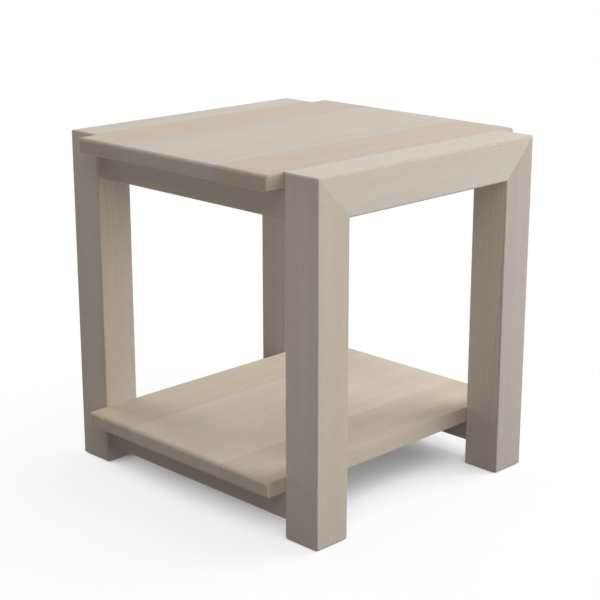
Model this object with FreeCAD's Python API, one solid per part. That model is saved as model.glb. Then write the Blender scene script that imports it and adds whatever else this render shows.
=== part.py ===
import FreeCAD, Part
import os

# An end table with a low shelf.
# Two side frames, each an upside-down U with mitred top corners, carry a top and a shelf of glued boards.
# The boards run from front to back, lie between the frames and stand out past them at both ends.
# X is the width, Y the depth with the front at -Y, and Z is up. The origin is on the floor under the middle.
# All lengths are in millimetres. A side is -1 on the left and 1 on the right.
# An end is -1 in front and 1 at the back.

# Whole table
table_width = 559.0
table_height = 559.0
frame_depth = 489.0

# Side frames: how thick the U is along X, and how wide its legs and its rail are
frame_thickness = 66.0
member_width = 66.0
frame_edge_radius = 3.2

# Top and shelf, whose overhanging ends are rounder than the sides that lie against the frames
board_count = 4
top_thickness = 25.4
shelf_thickness = 25.4
shelf_height = 100.0
panel_overhang = 35.0
panel_edge_radius = 6.0
panel_corner_radius = 3.0
panel_side_chamfer = 0.5

# Aprons under the top and rails under the shelf, set back from the front and back faces of the frames
apron_height = 47.0
shelf_rail_height = 49.0
rail_thickness = 20.0
rail_setback = 11.0
rail_edge_radius = 1.5

# Loose tenons across the mitres, half of the length in the leg and half in the rail
tenon_length = 32.0
tenon_width = 34.0
tenon_thickness = 12.0
tenon_end_gap = 1.0

# Dowels in the ends of the aprons and shelf rails, and between the top and the frame rails
dowel_diameter = 8.0
dowel_reach = 20.0
dowel_chamfer = 1.0
dowel_end_gap = 1.0
wall_past_dowels = 6.0
dowel_height_shares = (0.28, 0.72)
top_dowel_count = 4
glue_gap = 0.05

# Screws that hold the boards down on the aprons and shelf rails
screw_length = 45.0
screw_bite = 16.0
screw_diameter = 4.2
screw_tip = 6.0
screw_head_diameter = 8.4
screw_head_height = 3.0
screw_head_chamfer = 1.0
screw_socket = 2.6
screw_socket_depth = 1.6
screw_play = 0.4
head_play = 0.8
pilot_gap = 1.0

# Glides under the legs
glide_diameter = 24.0
glide_standing = 1.0
glide_recess = 2.5
glide_edge = 0.8
glide_play = 0.2
stem_diameter = 6.0
stem_length = 16.0
stem_tip_diameter = 3.0
stem_tip_length = 3.0
stem_end_gap = 1.0

# How far a cutting shape runs past the wood, how near counts as the same place, and a turn in degrees
overrun = 5.0
same_place = 0.001
full_turn = 360.0

# Places that follow from the sizes
half_width = table_width / 2
half_depth = frame_depth / 2
inner_face = half_width - frame_thickness
inner_leg = half_depth - member_width
frame_rail_underside = table_height - member_width
panel_half_depth = half_depth + panel_overhang
top_underside = table_height - top_thickness
shelf_underside = shelf_height - shelf_thickness
apron_bottom = top_underside - apron_height
shelf_rail_bottom = shelf_underside - shelf_rail_height
rail_middle = half_depth - rail_setback - rail_thickness / 2
frame_dowel_hole = (frame_thickness - tenon_thickness) / 2 - wall_past_dowels
board_width = 2 * inner_face / board_count
board_middles = [(i + 0.5) * board_width - inner_face for i in range(board_count)]
top_dowel_pitch = 2 * inner_leg / top_dowel_count
top_dowel_places = [(i + 0.5) * top_dowel_pitch - inner_leg for i in range(top_dowel_count)]

sides = {"left": -1, "right": 1}
ends = {"front": -1, "back": 1}


def at(x, y, z):
    return FreeCAD.Vector(x, y, z)


def near(value, place):
    return abs(value - place) < same_place


def block(low, high):
    """A box between two corners."""
    size = high - low
    return Part.makeBox(size.x, size.y, size.z, low)


def prism(outline, x_low, x_high):
    """An outline of (y, z) points, drawn out along X."""
    points = [at(x_low, y, z) for y, z in outline]
    face = Part.Face(Part.makePolygon(points + points[:1]))
    return face.extrude(at(x_high - x_low, 0, 0))


def turned(outline, x, y):
    """An outline of (radius, z) points, turned about an upright axis at x, y."""
    points = [at(x + radius, y, z) for radius, z in outline]
    face = Part.Face(Part.makePolygon(points + points[:1]))
    return face.revolve(at(x, y, 0), at(0, 0, 1), full_turn)


def eased(solid, radius, chosen):
    """The solid with the chosen edges rounded. The choice is made by each edge's middle."""
    return solid.makeFillet(radius, [edge for edge in solid.Edges if chosen(edge.CenterOfMass)])


def only_solid(shape):
    return shape.Solids[0]


# Joinery

def loose_tenon(side, end, gap=0.0, end_gap=0.0):
    """The round-edged tongue across a mitre or, with gaps, the slot for it in the leg and the rail."""
    middle = at(
        side * (half_width - frame_thickness / 2),
        end * (half_depth - member_width / 2),
        table_height - member_width / 2,
    )
    into_rail = at(0, -end, 1).normalize()
    along_mitre = at(0, end, 1).normalize()
    across = at(1, 0, 0)
    flat = (tenon_width - tenon_thickness) / 2
    edge_radius = tenon_thickness / 2 + gap
    reach = tenon_length / 2 + end_gap
    start = middle - into_rail * reach

    def point(along, over):
        return start + along_mitre * along + across * over

    corners = [
        point(-flat, edge_radius),
        point(flat, edge_radius),
        point(flat, -edge_radius),
        point(-flat, -edge_radius),
    ]
    outline = Part.Wire([
        Part.makeLine(corners[0], corners[1]),
        Part.Arc(corners[1], point(flat + edge_radius, 0), corners[2]).toShape(),
        Part.makeLine(corners[2], corners[3]),
        Part.Arc(corners[3], point(-flat - edge_radius, 0), corners[0]).toShape(),
    ])
    return Part.Face(outline).extrude(into_rail * (2 * reach))


def dowel(side, y, z):
    """A dowel along X through the joint at a frame's inner face."""
    length = dowel_reach + frame_dowel_hole - dowel_end_gap
    start = at(side * (inner_face - dowel_reach), y, z)
    pin = Part.makeCylinder(dowel_diameter / 2, length, start, at(side, 0, 0))
    rims = [edge for edge in pin.Edges if edge.Closed]
    return pin.makeChamfer(dowel_chamfer, rims)


def dowel_hole(side, y, z):
    """The bore for a dowel, in the frame and in the piece that the frame carries."""
    radius = dowel_diameter / 2 + glue_gap
    depth_in_rail = dowel_reach + dowel_end_gap
    start = at(side * (inner_face - depth_in_rail), y, z)
    return Part.makeCylinder(radius, depth_in_rail + frame_dowel_hole, start, at(side, 0, 0))


def rail_dowel_places(underside, height):
    """Where the dowels of the front and back rails at this level are, as (side, y, z)."""
    return [
        (side, end * rail_middle, underside + share * height)
        for side in sides.values()
        for end in ends.values()
        for share in dowel_height_shares
    ]


def screw(x, y, rail_top):
    """A screw driven upwards, with its head seated in a rail and its point in the board above."""
    seat = rail_top - screw_length + screw_bite
    head_bottom = seat - screw_head_height
    point = seat + screw_length
    body = turned(
        [
            (0, head_bottom),
            (screw_head_diameter / 2 - screw_head_chamfer, head_bottom),
            (screw_head_diameter / 2, head_bottom + screw_head_chamfer),
            (screw_head_diameter / 2, seat),
            (screw_diameter / 2, seat),
            (screw_diameter / 2, point - screw_tip),
            (0, point),
        ],
        x,
        y,
    )
    socket = block(
        at(x - screw_socket / 2, y - screw_socket / 2, head_bottom - overrun),
        at(x + screw_socket / 2, y + screw_socket / 2, head_bottom + screw_socket_depth),
    )
    return only_solid(body.cut(socket))


def screw_hole(x, y, rail_bottom, rail_top):
    """The counterbore and clearance hole in a rail, and the pilot hole in the board above it."""
    seat = rail_top - screw_length + screw_bite
    bore = screw_head_diameter / 2 + head_play
    clearance = screw_diameter / 2 + screw_play
    pilot = screw_diameter / 2 + glue_gap
    pilot_top = rail_top + screw_bite + pilot_gap
    return turned(
        [
            (0, rail_bottom - overrun),
            (bore, rail_bottom - overrun),
            (bore, seat),
            (clearance, seat),
            (clearance, rail_top),
            (pilot, rail_top),
            (pilot, pilot_top),
            (0, pilot_top),
        ],
        x,
        y,
    )


def rail_screw_places():
    return [(x, end * rail_middle) for x in board_middles for end in ends.values()]


def screws(rail_top):
    return [screw(x, y, rail_top) for x, y in rail_screw_places()]


def screw_holes(rail_bottom, rail_top):
    return [screw_hole(x, y, rail_bottom, rail_top) for x, y in rail_screw_places()]


apron_dowel_places = rail_dowel_places(apron_bottom, apron_height)
shelf_rail_dowel_places = rail_dowel_places(shelf_rail_bottom, shelf_rail_height)
top_edge_dowel_places = [
    (side, y, table_height - top_thickness / 2) for side in sides.values() for y in top_dowel_places
]
all_dowel_places = apron_dowel_places + shelf_rail_dowel_places + top_edge_dowel_places


# Glides

def glide_place(side, end):
    return side * (half_width - frame_thickness / 2), end * (half_depth - member_width / 2)


def glide(side, end):
    """A round nylon foot, sunk in the end grain of a leg, with a pointed stem."""
    radius = glide_diameter / 2
    disc_top = glide_standing + glide_recess
    stem_top = disc_top + stem_length
    outline = [
        (0, 0),
        (radius - glide_edge, 0),
        (radius, glide_edge),
        (radius, disc_top),
        (stem_diameter / 2, disc_top),
        (stem_diameter / 2, stem_top - stem_tip_length),
        (stem_tip_diameter / 2, stem_top),
        (0, stem_top),
    ]
    return turned(outline, *glide_place(side, end))


def glide_socket(side, end):
    radius = glide_diameter / 2 + glide_play
    stem_radius = stem_diameter / 2 + glue_gap
    disc_top = glide_standing + glide_recess
    stem_top = disc_top + stem_length + stem_end_gap
    outline = [
        (0, glide_standing - overrun),
        (radius, glide_standing - overrun),
        (radius, disc_top),
        (stem_radius, disc_top),
        (stem_radius, stem_top),
        (0, stem_top),
    ]
    return turned(outline, *glide_place(side, end))


# Side frames

def frame_blank(side):
    """The whole upside-down U with its edges eased, but for the one that the top lies flush against."""
    x_low, x_high = sorted((side * inner_face, side * half_width))
    outline = [
        (-half_depth, glide_standing),
        (-half_depth, table_height),
        (half_depth, table_height),
        (half_depth, glide_standing),
        (inner_leg, glide_standing),
        (inner_leg, frame_rail_underside),
        (-inner_leg, frame_rail_underside),
        (-inner_leg, glide_standing),
    ]

    def rounded(middle):
        beside_top = near(middle.x, side * inner_face) and near(middle.z, table_height)
        inside_corner = near(abs(middle.y), inner_leg) and near(middle.z, frame_rail_underside)
        return not beside_top and not inside_corner

    return eased(prism(outline, x_low, x_high), frame_edge_radius, rounded)


def frame_pieces(side):
    """A side frame's legs, by end, and its rail, sawn apart at the mitres."""
    x_low, x_high = sorted((side * (inner_face - overrun), side * (half_width + overrun)))
    holes = [dowel_hole(*place) for place in all_dowel_places if place[0] == side]
    holes += [loose_tenon(side, end, glue_gap, tenon_end_gap) for end in ends.values()]
    holes += [glide_socket(side, end) for end in ends.values()]
    frame = frame_blank(side).cut(holes)
    outer_y = half_depth + overrun
    inner_y = inner_leg - overrun
    above = table_height + overrun
    below = frame_rail_underside - overrun
    foot = glide_standing - overrun
    legs = {}
    for end in ends.values():
        outer, inner = end * outer_y, end * inner_y
        leg_space = [(outer, foot), (outer, above), (inner, below), (inner, foot)]
        legs[end] = only_solid(frame.common(prism(leg_space, x_low, x_high)))
    rail_space = [(-outer_y, above), (outer_y, above), (inner_y, below), (-inner_y, below)]
    return legs, only_solid(frame.common(prism(rail_space, x_low, x_high)))


# Top and shelf

def overhanging_end(end, underside, upper):
    """The part of a panel past the frames, rounded along its end and eased at its sides."""
    start, tip = end * half_depth, end * panel_half_depth
    y_low, y_high = sorted((start, tip))
    blank = block(at(-inner_face, y_low, underside), at(inner_face, y_high, upper))
    blank = eased(blank, panel_edge_radius, lambda middle: near(middle.x, 0) and near(middle.y, tip))

    def at_side(middle):
        return near(abs(middle.x), inner_face) and not near(middle.y, start)

    return eased(blank, panel_corner_radius, at_side)


def panel_blank(underside, upper):
    """A whole panel, with sharp sides between the frames but for a fine chamfer."""
    middle = block(at(-inner_face, -half_depth, underside), at(inner_face, half_depth, upper))
    side_edges = [edge for edge in middle.Edges if near(edge.CenterOfMass.y, 0)]
    middle = middle.makeChamfer(panel_side_chamfer, side_edges)
    return middle.fuse([overhanging_end(end, underside, upper) for end in ends.values()]).removeSplitter()


def panel_boards(underside, upper, holes):
    """The boards of a panel: a blank, drilled, then parted at the joints."""
    panel = panel_blank(underside, upper).cut(holes)
    boards = []
    for x in board_middles:
        space = block(
            at(x - board_width / 2, -panel_half_depth - overrun, underside - overrun),
            at(x + board_width / 2, panel_half_depth + overrun, upper + overrun),
        )
        boards.append(only_solid(panel.common(space)))
    return boards


def cross_rail(end, underside, upper, holes):
    """An apron or shelf rail from frame to frame, with its lower edges eased."""
    y = end * rail_middle
    rail = block(
        at(-inner_face, y - rail_thickness / 2, underside),
        at(inner_face, y + rail_thickness / 2, upper),
    )
    rail = eased(rail, rail_edge_radius, lambda middle: near(middle.z, underside) and near(middle.x, 0))
    return only_solid(rail.cut(holes))


# All pieces by name

pieces = {}
for side_name, side in sides.items():
    legs, pieces[f"frame_rail_{side_name}"] = frame_pieces(side)
    for end_name, end in ends.items():
        pieces[f"leg_{end_name}_{side_name}"] = legs[end]
        pieces[f"mitre_tenon_{end_name}_{side_name}"] = loose_tenon(side, end)
        pieces[f"glide_{end_name}_{side_name}"] = glide(side, end)


def add_level(panel, upper, underside, rail, rail_bottom, rail_dowels, edge_dowels):
    """A panel's boards, the rails under it, and the screws and dowels that hold them."""
    holes_for_screws = screw_holes(rail_bottom, underside)
    board_holes = holes_for_screws + [dowel_hole(*place) for place in edge_dowels]
    rail_holes = holes_for_screws + [dowel_hole(*place) for place in rail_dowels]
    for number, board in enumerate(panel_boards(underside, upper, board_holes), start=1):
        pieces[f"{panel}_board_{number}"] = board
    for end_name, end in ends.items():
        pieces[f"{rail}_{end_name}"] = cross_rail(end, rail_bottom, underside, rail_holes)
    pieces[f"{rail}_dowels"] = Part.makeCompound([dowel(*place) for place in rail_dowels])
    pieces[f"{panel}_screws"] = Part.makeCompound(screws(underside))


add_level(
    "top", table_height, top_underside, "apron", apron_bottom, apron_dowel_places, top_edge_dowel_places
)
add_level(
    "shelf", shelf_height, shelf_underside, "shelf_rail", shelf_rail_bottom, shelf_rail_dowel_places, []
)
pieces["top_edge_dowels"] = Part.makeCompound([dowel(*place) for place in top_edge_dowel_places])

os.makedirs("parts", exist_ok=True)
for name, shape in pieces.items():
    shape.exportStep(f"parts/{name}.step")
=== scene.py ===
import math
import random

import bpy
from bpy.props import FloatProperty, FloatVectorProperty, PointerProperty
from bpy.types import Operator, Panel, PropertyGroup
from mathutils import Euler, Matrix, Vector


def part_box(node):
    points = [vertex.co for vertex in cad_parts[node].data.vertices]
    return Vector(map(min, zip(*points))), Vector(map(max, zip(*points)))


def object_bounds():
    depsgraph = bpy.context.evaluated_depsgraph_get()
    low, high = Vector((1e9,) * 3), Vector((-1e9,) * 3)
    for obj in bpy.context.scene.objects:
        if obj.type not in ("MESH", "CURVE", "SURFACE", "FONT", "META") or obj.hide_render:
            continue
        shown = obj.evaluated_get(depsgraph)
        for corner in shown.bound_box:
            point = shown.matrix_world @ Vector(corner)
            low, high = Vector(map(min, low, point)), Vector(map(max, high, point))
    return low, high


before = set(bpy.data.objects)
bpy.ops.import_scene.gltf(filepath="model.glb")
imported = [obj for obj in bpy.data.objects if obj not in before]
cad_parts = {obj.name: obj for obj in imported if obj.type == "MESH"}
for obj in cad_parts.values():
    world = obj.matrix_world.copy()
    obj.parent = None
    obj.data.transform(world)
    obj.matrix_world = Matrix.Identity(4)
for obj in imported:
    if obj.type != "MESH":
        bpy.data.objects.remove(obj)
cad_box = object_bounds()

bl_info = {
    "name": "End table with shelf",
    "version": (1, 0, 0),
    "blender": (4, 5, 0),
    "location": "View3D > Sidebar > End table",
    "description": "Finishes the end table in pale stained wood and sets it on a white floor",
    "category": "Object",
}

SIDES = ("left", "right")
ENDS = ("front", "back")
BOARDS = range(1, 5)
OUTER_BOARDS = (1, 4)

# Turns that lay each grain direction along the X axis of the timber pattern
GRAIN_TURN = {
    "X": Euler((0, 0, 0)),
    "Y": Euler((0, 0, math.radians(-90))),
    "Z": Euler((0, math.radians(90), 0)),
}

# Slope of the loose tenons, which lie across the mitres, in degrees
TENON_SLOPE = {"front": -45, "back": 45}

# How light or dark a piece of timber takes the stain, where it isn't the same as the rest
STAIN_TONE = {
    "leg_front_left": 1.01,
    "leg_front_right": 1.07,
    "leg_back_right": 0.93,
    "frame_rail_right": 1.06,
    "shelf_board_1": 0.96,
    "shelf_board_2": 1.04,
    "shelf_board_3": 1.04,
    "shelf_board_4": 0.96,
}

# Where a piece lay in its log: tilt in degrees, and metres from the pith and along the log
LOG_TILT = (-1.4, 1.4)
FROM_PITH = (0.07, 0.13)
ALONG_LOG = (-2.0, 2.0)

# Cells of the timber pattern's noise in a metre, along the grain and across it both ways
WANDER_CELLS = (1.4, 7.0, 7.0)
RING_CLEARNESS_CELLS = (1.0, 24.0, 24.0)
HUE_CELLS = (0.9, 24.0, 24.0)
STREAK_CELLS_ALONG = 1.2

# How far the grain wanders along each axis, in metres, and the proportions of fibres and pores
WANDER_REACH = (0.0, 0.014, 0.014)
FIBRE_WIDTHS_IN_LENGTH = 40
PORES_IN_FIBRE_WIDTH = 2

# Growth rings: how they are drawn out along the grain, the scale of their waver, and the spacing
# of the rings in Blender's wave texture at scale 1
RING_STRETCH = (0.08, 1.0, 1.0)
RING_WAVER_SCALE = 0.45
WAVE_RING_SPACING = math.pi / 10

# Levels between which each part of the pattern goes from none to full
RING_CLEARNESS_LEVELS = (0.38, 0.68)
LATE_WOOD_LEVELS = (0.3, 1.0)
PORE_LEVELS = (0.64, 0.74)
HUE_LEVELS = (0.32, 0.68)
END_GRAIN_LEVELS = (0.75, 0.97)
# Painted shade: eased edges along the grain are darkened, standing in for the shade on them
EDGE_SHADE_LEVELS = (0.15, 0.6)

# Stain in the pores, and the satin lacquer's spread of roughness, gloss and relief
PORE_TINT = (0.45, 0.38, 0.32, 1.0)
LACQUER_UNEVENNESS = 0.06
LACQUER_GLOSS = 0.18
TIMBER_RELIEF_STRENGTH = 0.35

# Bare beech of the hidden joints. Each relief is a strength and a height in metres
BEECH_FIBRE_CELLS = (60.0, 900.0, 900.0)
BEECH_FLECK_CELLS = (420.0, 1300.0, 1300.0)
BEECH_FLECK_LEVELS = (0.62, 0.72)
BEECH_FLECK_DEPTH = 0.35
BEECH_FLECK_TINT = (0.6, 0.42, 0.3, 1.0)
BEECH_TONES = (0.85, 1.15)
BEECH_ROUGHNESS = (0.55, 0.70)
BEECH_RELIEF = (0.3, 0.0001)

# Zinc plating of the screws
ZINC_BLOOM_CELLS = (400.0, 400.0, 400.0)
ZINC_SCRATCH_CELLS = (300.0, 300.0, 6000.0)
ZINC_TONES = (0.82, 1.08)
ZINC_ROUGHNESS = (0.18, 0.43)
ZINC_RELIEF = (0.2, 0.00003)

# Moulded nylon of the glides
NYLON_GRAIN_CELLS = (2500.0, 2500.0, 2500.0)
NYLON_SCUFF_CELLS = (120.0, 700.0, 700.0)
NYLON_SCUFF_LEVELS = (0.55, 0.75)
NYLON_TONES = (1.0, 2.2)
NYLON_ROUGHNESS = (0.45, 0.65)
NYLON_RELIEF = (0.3, 0.00005)

# Softboxes round the table: azimuth from +X towards +Y, elevation, and the power property
SOFTBOXES = {
    "left_softbox": (180, 5, "left_power"),
    "back_right_softbox": (60, 5, "back_right_power"),
    "high_back_right_softbox": (60, 45, "high_back_right_power"),
    "overhead_softbox": (0, 90, "overhead_power"),
    "front_right_softbox": (315, 45, "front_right_power"),
    "front_softbox": (300, 5, "front_power"),
    "right_softbox": (30, 5, "right_power"),
    "back_softbox": (80, 25, "back_power"),
}

# Softboxes whose light is a little cooler than the rest
COOL_SOFTBOXES = ("back_right_softbox", "right_softbox")

# The floor turns to plain white with its openness to the sky: most of the way in the dense shadow
# under the table, and the rest in the faint shadow round it
DENSE_SHADOW_LEVELS = (-0.1, 0.5)
FAINT_SHADOW_LEVELS = (0.62, 1.0)
DENSE_SHADOW_SHARE = 0.78
FAINT_SHADOW_SHARE = 0.22
OPENNESS_SAMPLES = 32


def colour_property(name, description, default):
    """A colour that the panel shows as a swatch."""
    return FloatVectorProperty(
        name=name, description=description, subtype="COLOR", size=3, min=0, max=1, default=default
    )


def share_property(name, description, default, most=1.0):
    """A share from nothing up to the most that makes sense."""
    return FloatProperty(
        name=name, description=description, subtype="FACTOR", min=0, max=most, default=default
    )


def length_property(name, description, default):
    """A length in metres."""
    return FloatProperty(
        name=name, description=description, unit="LENGTH", min=0, precision=5, default=default
    )


def angle_property(name, description, degrees):
    """An angle, given in degrees."""
    return FloatProperty(
        name=name, description=description, subtype="ANGLE", default=math.radians(degrees)
    )


def camera_property(name, description, default):
    """A size in the camera, in millimetres."""
    return FloatProperty(name=name, description=description, unit="CAMERA", default=default)


def power_property(name, default):
    """The power of one softbox."""
    return FloatProperty(
        name=name, description="Power of this softbox", unit="POWER", min=0, default=default
    )


class WoodFinish(PropertyGroup):
    """Pale stain over solid timber, with a satin lacquer."""

    leg_colour: colour_property("Legs", "Stain on the four legs", (0.56, 0.489, 0.423))
    frame_rail_colour: colour_property(
        "Frame rails", "Stain on the two rails of the frames", (0.59, 0.534, 0.458)
    )
    warm_board_colour: colour_property(
        "Outer boards", "Stain on the warmer outer boards", (0.56, 0.472, 0.375)
    )
    pale_board_colour: colour_property(
        "Inner boards", "Stain on the greyer inner boards", (0.58, 0.517, 0.44)
    )
    # Partly painted shade: the stain of the aprons and shelf rails is darker to stand in for the
    # shade under the top and the shelf
    rail_colour: colour_property(
        "Aprons", "Stain on the aprons and the shelf rails", (0.515, 0.445, 0.371)
    )
    # Painted light: the shelf's stain is made lighter than the same boards in the top, standing in
    # for light that reaches under the top
    shelf_painted_light_tone: share_property(
        "Shelf tone", "Stain on the shelf, against the same boards in the top", 1.22, 2.0
    )
    shelf_warmth: share_property(
        "Shelf warmth", "How near the shelf's boards come to the outer ones of the top", 0.62
    )
    ring_spacing: length_property("Ring spacing", "Distance between growth rings", 0.0036)
    ring_depth: share_property("Ring depth", "How much darker the late wood of a ring is", 0.30)
    ring_waver: share_property(
        "Ring waver", "How far the rings run out of true, in rings", 1.5, 10.0
    )
    streak_width: length_property(
        "Streak width", "Width of the broad streaks along the grain", 0.022
    )
    streak_depth: share_property("Streak depth", "Strength of the broad streaks", 0.55)
    fibre_width: length_property("Fibre width", "Width of the fine fibres", 0.0008)
    fibre_depth: share_property("Fibre depth", "Strength of the fine fibres", 0.40)
    pore_length: length_property("Pore length", "Length of the fine pores along the grain", 0.012)
    pore_depth: share_property(
        "Pore depth", "How much darker a pore is than the wood round it", 0.22
    )
    end_grain_depth: share_property(
        "End grain", "How much darker the stain is on end grain", 0.20
    )
    # Painted shade: this darkens the eased edges to stand in for the shade on them, not a real
    # stain
    edge_shade_depth: share_property(
        "Edges", "How much darker the stain is on edges that run along the grain", 0.18
    )
    tone_range: share_property(
        "Tone range", "Spread between the darkest and the lightest wood", 0.13
    )
    hue_range: share_property(
        "Hue range", "Spread between the warmest and the greyest wood of a piece", 0.05
    )
    roughness: share_property("Roughness", "Roughness of the satin lacquer", 0.50)
    relief: length_property("Relief", "Height of the grain that can be felt", 0.00012)


class FixingFinish(PropertyGroup):
    """Colours of the parts that hold the table together and carry it."""

    joint_colour: colour_property(
        "Joints", "Bare wood of the loose tenons and dowels", (0.62, 0.40, 0.21)
    )
    steel_colour: colour_property("Screws", "Zinc plating of the screws", (0.62, 0.60, 0.54))
    nylon_colour: colour_property("Glides", "Moulded nylon of the glides", (0.035, 0.032, 0.030))


class StudioStage(PropertyGroup):
    """Camera, floor and light round the table."""

    azimuth: angle_property("Azimuth", "Turn of the camera round the table", 45.06)
    elevation: angle_property("Elevation", "Angle of the camera above the floor", 16.125)
    distance: length_property(
        "Distance", "Distance of the camera from the middle of the table", 2.498
    )
    lens: camera_property("Lens", "Focal length of the camera", 90.70)
    sensor: camera_property("Sensor", "Width of the camera's sensor", 36.0)
    floor_size: length_property("Floor", "Length of each side of the floor", 30.0)
    floor_colour: colour_property(
        "Floor colour", "Paint on the floor away from the table", (0.30, 0.30, 0.30)
    )
    # Painted shade: the floor's paint is darker close to the table, standing in for the shade there
    near_painted_shade_share: share_property(
        "Near share", "How much of the floor's light comes back from under the table", 0.4
    )
    near_edge: length_property(
        "Near edge", "How far from the middle of the floor its light starts to rise", 0.3
    )
    far_edge: length_property(
        "Far edge", "How far from the middle of the floor its light is full", 0.9
    )
    shadow_reach: length_property("Shadow reach", "How far from the table its shadow fades", 1.0)
    softbox_size: length_property("Softbox size", "Length of each side of a softbox", 2.7)
    softbox_distance: length_property(
        "Softbox distance", "Distance from the table to each softbox", 5.0
    )
    cool_light: colour_property(
        "Cool light", "Light of the two low softboxes at the right", (0.955, 0.97, 1.0)
    )
    left_power: power_property("Left softbox", 292)
    back_right_power: power_property("Back right softbox", 117)
    high_back_right_power: power_property("High back right softbox", 115)
    overhead_power: power_property("Overhead softbox", 45)
    front_right_power: power_property("Front right softbox", 54)
    front_power: power_property("Front softbox", 50)
    right_power: power_property("Right softbox", 80)
    back_power: power_property("Back softbox", 90)


def scaled(colour, factor):
    """A colour made lighter or darker, with its alpha."""
    return (*(part * factor for part in colour), 1.0)


def grey(level):
    """A plain grey, from black at nought to white at one."""
    return (level, level, level, 1.0)


class NodeSheet:
    """A node tree, with short calls that add a node and join it to the ones before."""

    def __init__(self, tree):
        self.tree = tree
        tree.nodes.clear()

    def feed(self, socket, value):
        """Join the output of another node to a socket, or set the socket to a constant."""
        if isinstance(value, bpy.types.NodeSocket):
            self.tree.links.new(value, socket)
        else:
            socket.default_value = value

    def add(self, kind, feeds=None, **settings):
        """Add one node, with what its inputs are fed."""
        made = self.tree.nodes.new("ShaderNode" + kind)
        for name, value in settings.items():
            setattr(made, name, value)
        for name, value in (feeds or {}).items():
            self.feed(made.inputs[name], value)
        return made

    def sum(self, operation, first, second, third=0.0):
        """One sum with numbers."""
        return self.add("Math", {0: first, 1: second, 2: third}, operation=operation).outputs[0]

    def between(self, value, low, high):
        """A value from nought to one, laid out between two levels."""
        return self.sum("MULTIPLY_ADD", value, high - low, low)

    def stretch(self, vector, scale):
        """Scale a place along each axis."""
        return self.add("VectorMath", {0: vector, 1: scale}, operation="MULTIPLY").outputs[0]

    def noise(self, vector, cells, detail, channel="Fac"):
        """Noise with a number of cells in a metre along each axis."""
        feeds = {"Vector": self.stretch(vector, cells), "Scale": 1.0, "Detail": detail}
        return self.add("TexNoise", feeds).outputs[channel]

    def ramp(self, value, low, high, low_result=0.0, high_result=1.0):
        """A smooth step of a value from one level to another."""
        feeds = {
            "Value": value,
            "From Min": low, "From Max": high,
            "To Min": low_result, "To Max": high_result,
        }
        return self.add("MapRange", feeds, interpolation_type="SMOOTHSTEP").outputs["Result"]

    def blend(self, kind, share, first, second):
        """Mix two colours."""
        made = self.add("Mix", data_type="RGBA", blend_type=kind)
        sockets = {socket.identifier: socket for socket in made.inputs}
        for name, value in (("Factor_Float", share), ("A_Color", first), ("B_Color", second)):
            self.feed(sockets[name], value)
        return next(socket for socket in made.outputs if socket.identifier == "Result_Color")

    def tones(self, value, colour, dark, light):
        """A colour that goes from a dark tone of itself to a light one."""
        return self.blend("MIX", value, scaled(colour, dark), scaled(colour, light))

    def surface(self, colour, roughness, height, relief, constants=None):
        """Close a material with a surface that has a colour, a roughness and a felt relief."""
        strength, distance = relief
        feeds = {"Strength": strength, "Distance": distance, "Height": height}
        bump = self.add("Bump", feeds).outputs["Normal"]
        feeds = {"Base Color": colour, "Roughness": roughness, "Normal": bump, **(constants or {})}
        shader = self.add("BsdfPrincipled", feeds).outputs["BSDF"]
        self.add("OutputMaterial", {"Surface": shader})


def new_material(name):
    """An empty material and the sheet of its nodes."""
    material = bpy.data.materials.new(name)
    material.use_nodes = True
    return material, NodeSheet(material.node_tree)


def dress(node, material):
    """Give a piece one material all over."""
    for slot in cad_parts[node].material_slots:
        slot.material = material


def timber_place(node, grain):
    """Where a piece was cut from its log: its pattern's turn and shift, the same on every run."""
    draw = random.Random(node)
    low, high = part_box(node)
    tilt = Euler((0, *(math.radians(draw.uniform(*LOG_TILT)) for _ in range(2))))
    turn = tilt.to_matrix() @ GRAIN_TURN[grain].to_matrix()
    from_pith = draw.uniform(*FROM_PITH)
    side = draw.uniform(0, 2 * math.pi)
    along = draw.uniform(*ALONG_LOG)
    cut = Vector((along, from_pith * math.cos(side), from_pith * math.sin(side)))
    return turn.to_euler(), cut - turn @ ((low + high) / 2)


def wandering_grain(sheet, node, grain, position):
    """Places in the log, with the grain along X, that wander a few millimetres to the side."""
    turn, shift = timber_place(node, grain)
    feeds = {"Vector": position, "Location": shift, "Rotation": turn}
    straight = sheet.add("Mapping", feeds).outputs["Vector"]
    wander = sheet.noise(straight, WANDER_CELLS, detail=3.0, channel="Color")
    feeds = {0: wander, 1: WANDER_REACH, 2: straight}
    return sheet.add("VectorMath", feeds, operation="MULTIPLY_ADD").outputs[0]


def late_wood(sheet, place):
    """Dark lines of wavering growth rings, clearer in some places than in others."""
    finish = bpy.context.scene.table_wood
    rings = sheet.add(
        "TexWave",
        {
            "Vector": sheet.stretch(place, RING_STRETCH),
            "Scale": WAVE_RING_SPACING / finish.ring_spacing,
            "Distortion": 2 * math.pi * finish.ring_waver,
            "Detail": 2.0,
            "Detail Scale": RING_WAVER_SCALE,
        },
        wave_type="RINGS", rings_direction="X", wave_profile="SAW",
    ).outputs["Fac"]
    clearness = sheet.noise(place, RING_CLEARNESS_CELLS, detail=2.0)
    clearness = sheet.ramp(clearness, *RING_CLEARNESS_LEVELS)
    return sheet.sum("MULTIPLY", sheet.ramp(rings, *LATE_WOOD_LEVELS), clearness)


def wood_lines(sheet, place):
    """Broad streaks, fine fibres and short pores along the grain."""
    finish = bpy.context.scene.table_wood
    across = 1 / finish.streak_width
    streaks = sheet.noise(place, (STREAK_CELLS_ALONG, across, across), detail=4.0)
    across = 1 / finish.fibre_width
    fibres = sheet.noise(place, (across / FIBRE_WIDTHS_IN_LENGTH, across, across), detail=2.0)
    across *= PORES_IN_FIBRE_WIDTH
    pores = sheet.noise(place, (1 / finish.pore_length, across, across), detail=0.0)
    return streaks, fibres, sheet.ramp(pores, *PORE_LEVELS)


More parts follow.
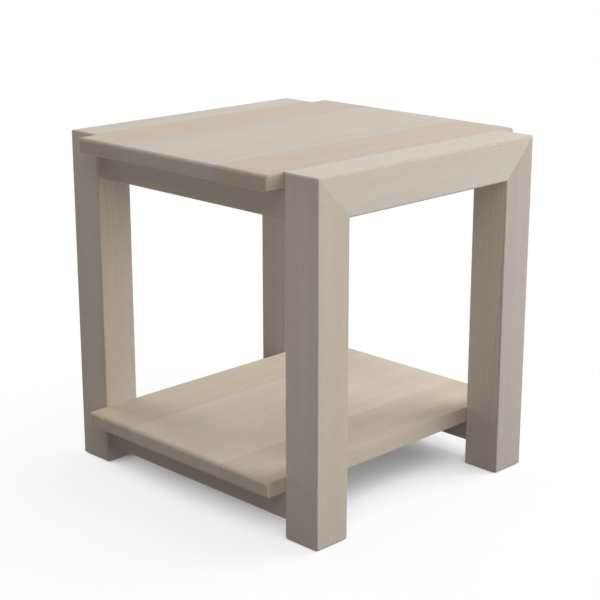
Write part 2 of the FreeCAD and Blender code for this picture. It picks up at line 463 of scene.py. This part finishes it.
def ends_and_shaded_edges(sheet, normal, grain):
    """One on end grain, and one on the eased edges that run along the grain, where shade is
    painted.
    """
    size = sheet.add("VectorMath", {0: normal}, operation="ABSOLUTE").outputs[0]
    parts = sheet.add("SeparateXYZ", {"Vector": size}).outputs
    beside = sheet.sum("MINIMUM", *(parts[axis] for axis in GRAIN_TURN if axis != grain))
    return sheet.ramp(parts[grain], *END_GRAIN_LEVELS), sheet.ramp(beside, *EDGE_SHADE_LEVELS)


def timber(node, grain, colour, share=1.0):
    """Solid pale wood with rings, streaks, fibres and pores that run through the whole piece."""
    finish = bpy.context.scene.table_wood
    material, sheet = new_material(node + "_timber")
    coordinates = sheet.add("TexCoord").outputs
    place = wandering_grain(sheet, node, grain, coordinates["Object"])
    streaks, fibres, pores = wood_lines(sheet, place)

    # Light and dark wood
    level = sheet.between(streaks, 0.5 - finish.streak_depth / 2, 0.5 + finish.streak_depth / 2)
    level = sheet.sum("MULTIPLY_ADD", fibres, finish.fibre_depth, level)
    level = sheet.sum("SUBTRACT", level, finish.fibre_depth / 2)
    level = sheet.sum("MULTIPLY_ADD", late_wood(sheet, place), -finish.ring_depth, level)
    tone = share * STAIN_TONE.get(node, 1.0)
    stain = sheet.tones(
        level, colour, tone * (1 - finish.tone_range), tone * (1 + finish.tone_range)
    )

    # Greyer and warmer wood
    hue = sheet.noise(place, HUE_CELLS, detail=2.0, channel="Color")
    greyer = (1 - finish.hue_range / 2, 1, 1 + finish.hue_range, 1)
    warmer = (1 + finish.hue_range / 2, 1, 1 - finish.hue_range, 1)
    tint = sheet.blend("MIX", sheet.ramp(hue, *HUE_LEVELS), greyer, warmer)
    stain = sheet.blend("MULTIPLY", 1.0, stain, tint)

    # Stain that gathers in the pores and in end grain, and painted shade on the eased edges
    ends, edges = ends_and_shaded_edges(sheet, coordinates["Normal"], grain)
    in_pores = sheet.sum("MULTIPLY", pores, finish.pore_depth)
    stain = sheet.blend("MULTIPLY", in_pores, stain, PORE_TINT)
    stain = sheet.blend("MULTIPLY", ends, stain, grey(1 - finish.end_grain_depth))
    # Painted shade on the eased edges along the grain
    stain = sheet.blend("MULTIPLY", edges, stain, grey(1 - finish.edge_shade_depth))

    roughness = sheet.between(
        fibres, finish.roughness - LACQUER_UNEVENNESS, finish.roughness + LACQUER_UNEVENNESS
    )
    height = sheet.sum("SUBTRACT", fibres, pores)
    relief = (TIMBER_RELIEF_STRENGTH, finish.relief)
    sheet.surface(stain, roughness, height, relief, {"Specular IOR Level": LACQUER_GLOSS})
    dress(node, material)


def bare_beech(node, grain_turn):
    """Bare beech with short flecks, for the hidden tenons and dowels."""
    finish = bpy.context.scene.table_fixings
    material, sheet = new_material(node + "_beech")
    position = sheet.add("TexCoord").outputs["Object"]
    place = sheet.add("Mapping", {"Vector": position, "Rotation": grain_turn}).outputs["Vector"]
    fibres = sheet.noise(place, BEECH_FIBRE_CELLS, detail=3.0)
    flecks = sheet.ramp(sheet.noise(place, BEECH_FLECK_CELLS, detail=0.0), *BEECH_FLECK_LEVELS)
    colour = sheet.tones(fibres, finish.joint_colour, *BEECH_TONES)
    fleck_share = sheet.sum("MULTIPLY", flecks, BEECH_FLECK_DEPTH)
    colour = sheet.blend("MULTIPLY", fleck_share, colour, BEECH_FLECK_TINT)
    sheet.surface(colour, sheet.between(fibres, *BEECH_ROUGHNESS), fibres, BEECH_RELIEF)
    dress(node, material)


def zinc_plate():
    """Zinc plating with a faint cloudy bloom and fine scratches."""
    finish = bpy.context.scene.table_fixings
    material, sheet = new_material("zinc_plate")
    place = sheet.add("TexCoord").outputs["Object"]
    bloom = sheet.noise(place, ZINC_BLOOM_CELLS, detail=3.0)
    scratches = sheet.noise(place, ZINC_SCRATCH_CELLS, detail=2.0)
    colour = sheet.tones(bloom, finish.steel_colour, *ZINC_TONES)
    roughness = sheet.between(scratches, *ZINC_ROUGHNESS)
    sheet.surface(colour, roughness, scratches, ZINC_RELIEF, {"Metallic": 1.0})
    return material


def moulded_nylon():
    """Dark nylon with the fine grain of its mould and scuffs from the floor."""
    finish = bpy.context.scene.table_fixings
    material, sheet = new_material("moulded_nylon")
    place = sheet.add("TexCoord").outputs["Object"]
    grain = sheet.noise(place, NYLON_GRAIN_CELLS, detail=2.0)
    scuffs = sheet.ramp(sheet.noise(place, NYLON_SCUFF_CELLS, detail=4.0), *NYLON_SCUFF_LEVELS)
    colour = sheet.tones(scuffs, finish.nylon_colour, *NYLON_TONES)
    sheet.surface(colour, sheet.between(grain, *NYLON_ROUGHNESS), grain, NYLON_RELIEF)
    return material


def seen_directly(sheet):
    """One for rays from the camera, also by way of gloss or glass, and nought for bounced light."""
    path = sheet.add("LightPath").outputs
    seen = sheet.sum("MAXIMUM", path["Is Camera Ray"], path["Is Glossy Ray"])
    return sheet.sum("MAXIMUM", seen, path["Is Transmission Ray"])


def white_floor_paint():
    """White floor that keeps the table's shadow, with painted shade under it so that little light
    comes back from there.
    """
    stage = bpy.context.scene.table_stage
    material, sheet = new_material("white_floor_paint")

    # What the floor throws back: its paint is darker close to the middle, a painted shade under the
    # table
    place = sheet.add("TexCoord").outputs["Object"]
    from_middle = sheet.add("VectorMath", {0: place}, operation="LENGTH").outputs["Value"]
    # Painted shade: the bounce paint is darker near the middle, where the table stands
    share = sheet.ramp(from_middle, stage.near_edge, stage.far_edge, stage.near_painted_shade_share, 1.0)
    feeds = {0: stage.floor_colour, "Scale": share}
    bounce = sheet.add("VectorMath", feeds, operation="SCALE").outputs[0]
    paint = sheet.add("BsdfDiffuse", {"Color": bounce}).outputs["BSDF"]

    # What the floor shows: its shadow near the table, and plain white away from it
    feeds = {"Distance": stage.shadow_reach}
    openness = sheet.add("AmbientOcclusion", feeds, samples=OPENNESS_SAMPLES).outputs["AO"]
    dense = sheet.ramp(openness, *DENSE_SHADOW_LEVELS)
    faint = sheet.ramp(openness, *FAINT_SHADOW_LEVELS)
    away = sheet.sum("MULTIPLY", dense, DENSE_SHADOW_SHARE)
    away = sheet.sum("MULTIPLY_ADD", faint, FAINT_SHADOW_SHARE, away)
    shadow = sheet.add("BsdfDiffuse", {"Color": grey(1.0)}).outputs["BSDF"]
    white = sheet.add("Emission", {"Color": grey(1.0), "Strength": 1.0}).outputs["Emission"]
    shown = sheet.add("MixShader", {0: away, 1: shadow, 2: white}).outputs[0]

    surface = sheet.add("MixShader", {0: seen_directly(sheet), 1: paint, 2: shown}).outputs[0]
    sheet.add("OutputMaterial", {"Surface": surface})
    return material


def white_surround():
    """World that shows plain white, and leaves the light to the softboxes."""
    world = bpy.data.worlds.new("white_surround")
    world.use_nodes = True
    sheet = NodeSheet(world.node_tree)
    feeds = {"Color": grey(1.0), "Strength": seen_directly(sheet)}
    white = sheet.add("Background", feeds).outputs["Background"]
    sheet.add("OutputWorld", {"Surface": white})
    return world


def direction(azimuth, elevation):
    """A unit vector, by its turn from +X towards +Y and its rise above the floor, in degrees."""
    turn, rise = math.radians(azimuth), math.radians(elevation)
    flat = math.cos(rise)
    return Vector((flat * math.cos(turn), flat * math.sin(turn), math.sin(rise)))


def table_middle():
    """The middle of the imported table."""
    low, high = cad_box
    return (low + high) / 2


def add_softbox(name, azimuth, elevation, power):
    """A square softbox that faces the table, and leaves no glare of its own on it."""
    stage = bpy.context.scene.table_stage
    lamp = bpy.data.lights.new(name, "AREA")
    lamp.shape = "SQUARE"
    lamp.size = stage.softbox_size
    lamp.energy = power
    if name in COOL_SOFTBOXES:
        lamp.color = stage.cool_light
    holder = bpy.data.objects.new(name, lamp)
    towards = direction(azimuth, elevation)
    holder.location = table_middle() + stage.softbox_distance * towards
    holder.rotation_euler = (-towards).to_track_quat("-Z", "Y").to_euler()
    holder.visible_glossy = False
    bpy.context.scene.collection.objects.link(holder)


def add_camera():
    """The camera at the photograph's viewing angle, turned from the front towards the right."""
    stage = bpy.context.scene.table_stage
    camera = bpy.data.objects.new("camera", bpy.data.cameras.new("camera"))
    camera.data.lens = stage.lens
    camera.data.sensor_width = stage.sensor
    flat = math.cos(stage.elevation)
    back = Vector((
        flat * math.sin(stage.azimuth), -flat * math.cos(stage.azimuth), math.sin(stage.elevation)
    ))
    camera.location = table_middle() + stage.distance * back
    camera.rotation_euler = (-back).to_track_quat("-Z", "Y").to_euler()
    bpy.context.scene.collection.objects.link(camera)
    bpy.context.scene.camera = camera


def add_floor():
    """A wide flat floor under the glides."""
    stage = bpy.context.scene.table_stage
    bpy.ops.object.select_all(action="DESELECT")
    bpy.ops.mesh.primitive_plane_add(size=stage.floor_size)
    floor = bpy.context.object
    floor.name = "studio_floor"
    floor.data.materials.append(white_floor_paint())


def finish_boards(panel, tone, outer_warmth, inner_warmth):
    """Stain the boards of one panel, each between the pale and the warm stain."""
    finish = bpy.context.scene.table_wood
    warm, pale = Vector(finish.warm_board_colour), Vector(finish.pale_board_colour)
    for number in BOARDS:
        warmth = outer_warmth if number in OUTER_BOARDS else inner_warmth
        timber(f"{panel}_board_{number}", "Y", pale.lerp(warm, warmth), tone)


class TABLE_OT_finish_legs(Operator):
    """Stain the four legs, with the grain from floor to top"""

    bl_idname = "end_table.finish_legs"
    bl_label = "Finish legs"

    def execute(self, context):
        for end in ENDS:
            for side in SIDES:
                timber(f"leg_{end}_{side}", "Z", context.scene.table_wood.leg_colour)
        return {"FINISHED"}


class TABLE_OT_finish_frame_rails(Operator):
    """Stain the two rails that are mitred into the legs, with the grain from front to back"""

    bl_idname = "end_table.finish_frame_rails"
    bl_label = "Finish frame rails"

    def execute(self, context):
        for side in SIDES:
            timber(f"frame_rail_{side}", "Y", context.scene.table_wood.frame_rail_colour)
        return {"FINISHED"}


class TABLE_OT_finish_top(Operator):
    """Stain the four glued boards of the top, the outer two warmer than the inner two"""

    bl_idname = "end_table.finish_top"
    bl_label = "Finish top"

    def execute(self, context):
        finish_boards("top", tone=1.0, outer_warmth=1.0, inner_warmth=0.0)
        return {"FINISHED"}


class TABLE_OT_finish_shelf(Operator):
    """Stain the four glued boards of the shelf lighter than the top, as painted light under the
    top, with the grain from front to back
    """

    bl_idname = "end_table.finish_shelf"
    bl_label = "Finish shelf"

    def execute(self, context):
        finish = context.scene.table_wood
        # The shelf's lighter tone is painted light under the top, not a lighter stain
        finish_boards("shelf", finish.shelf_painted_light_tone, finish.shelf_warmth, finish.shelf_warmth)
        return {"FINISHED"}


class TABLE_OT_finish_rails(Operator):
    """Stain the aprons and the shelf rails darker, partly as painted shade under the top and the
    shelf, with the grain from side to side
    """

    bl_idname = "end_table.finish_rails"
    bl_label = "Finish aprons and shelf rails"

    def execute(self, context):
        for kind in ("apron", "shelf_rail"):
            for end in ENDS:
                # Stain, made darker as painted shade under the top and the shelf
                timber(f"{kind}_{end}", "X", context.scene.table_wood.rail_colour)
        return {"FINISHED"}


class TABLE_OT_finish_joints(Operator):
    """Leave the loose tenons and the dowels as bare beech"""

    bl_idname = "end_table.finish_joints"
    bl_label = "Finish tenons and dowels"

    def execute(self, context):
        for kind in ("apron_dowels", "shelf_rail_dowels", "top_edge_dowels"):
            bare_beech(kind, GRAIN_TURN["X"])
        for end, slope in TENON_SLOPE.items():
            across_mitre = Euler((math.radians(slope), 0, math.radians(-90)))
            for side in SIDES:
                bare_beech(f"mitre_tenon_{end}_{side}", across_mitre)
        return {"FINISHED"}


class TABLE_OT_finish_screws(Operator):
    """Plate the screws under the top and the shelf with zinc"""

    bl_idname = "end_table.finish_screws"
    bl_label = "Finish screws"

    def execute(self, context):
        plate = zinc_plate()
        for kind in ("top_screws", "shelf_screws"):
            dress(kind, plate)
        return {"FINISHED"}


class TABLE_OT_finish_glides(Operator):
    """Mould the glides under the legs in dark nylon"""

    bl_idname = "end_table.finish_glides"
    bl_label = "Finish glides"

    def execute(self, context):
        nylon = moulded_nylon()
        for end in ENDS:
            for side in SIDES:
                dress(f"glide_{end}_{side}", nylon)
        return {"FINISHED"}


class TABLE_OT_set_stage(Operator):
    """Set the table on a white floor, under soft light, before the camera"""

    bl_idname = "end_table.set_stage"
    bl_label = "Set stage"

    def execute(self, context):
        stage = context.scene.table_stage
        add_floor()
        context.scene.world = white_surround()
        for name, (azimuth, elevation, power) in SOFTBOXES.items():
            add_softbox(name, azimuth, elevation, getattr(stage, power))
        add_camera()
        context.scene.view_settings.view_transform = "Standard"
        return {"FINISHED"}


OPERATORS = (
    TABLE_OT_finish_legs,
    TABLE_OT_finish_frame_rails,
    TABLE_OT_finish_top,
    TABLE_OT_finish_shelf,
    TABLE_OT_finish_rails,
    TABLE_OT_finish_joints,
    TABLE_OT_finish_screws,
    TABLE_OT_finish_glides,
    TABLE_OT_set_stage,
)
SETTINGS = {"table_wood": WoodFinish, "table_fixings": FixingFinish, "table_stage": StudioStage}


class VIEW3D_PT_end_table(Panel):
    """Settings and steps of the end table"""

    bl_label = "End table with shelf"
    bl_space_type = "VIEW_3D"
    bl_region_type = "UI"
    bl_category = "End table"

    def draw(self, context):
        for name in SETTINGS:
            settings = getattr(context.scene, name)
            box = self.layout.box()
            for prop in settings.bl_rna.properties:
                if prop.identifier not in {"rna_type", "name"}:
                    box.prop(settings, prop.identifier)
        for operator in OPERATORS:
            self.layout.operator(operator.bl_idname)


CLASSES = (*SETTINGS.values(), *OPERATORS, VIEW3D_PT_end_table)


def register():
    """Register the settings, the operators and the panel."""
    for one in CLASSES:
        bpy.utils.register_class(one)
    for name, settings in SETTINGS.items():
        setattr(bpy.types.Scene, name, PointerProperty(type=settings))


def unregister():
    """Take the settings, the operators and the panel away again."""
    for name in SETTINGS:
        delattr(bpy.types.Scene, name)
    for one in reversed(CLASSES):
        bpy.utils.unregister_class(one)


def main():
    """Finish the table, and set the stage."""
    register()
    bpy.ops.end_table.finish_legs()
    bpy.ops.end_table.finish_frame_rails()
    bpy.ops.end_table.finish_top()
    bpy.ops.end_table.finish_shelf()
    bpy.ops.end_table.finish_rails()
    bpy.ops.end_table.finish_joints()
    bpy.ops.end_table.finish_screws()
    bpy.ops.end_table.finish_glides()
    bpy.ops.end_table.set_stage()


if __name__ == "__main__":
    main()
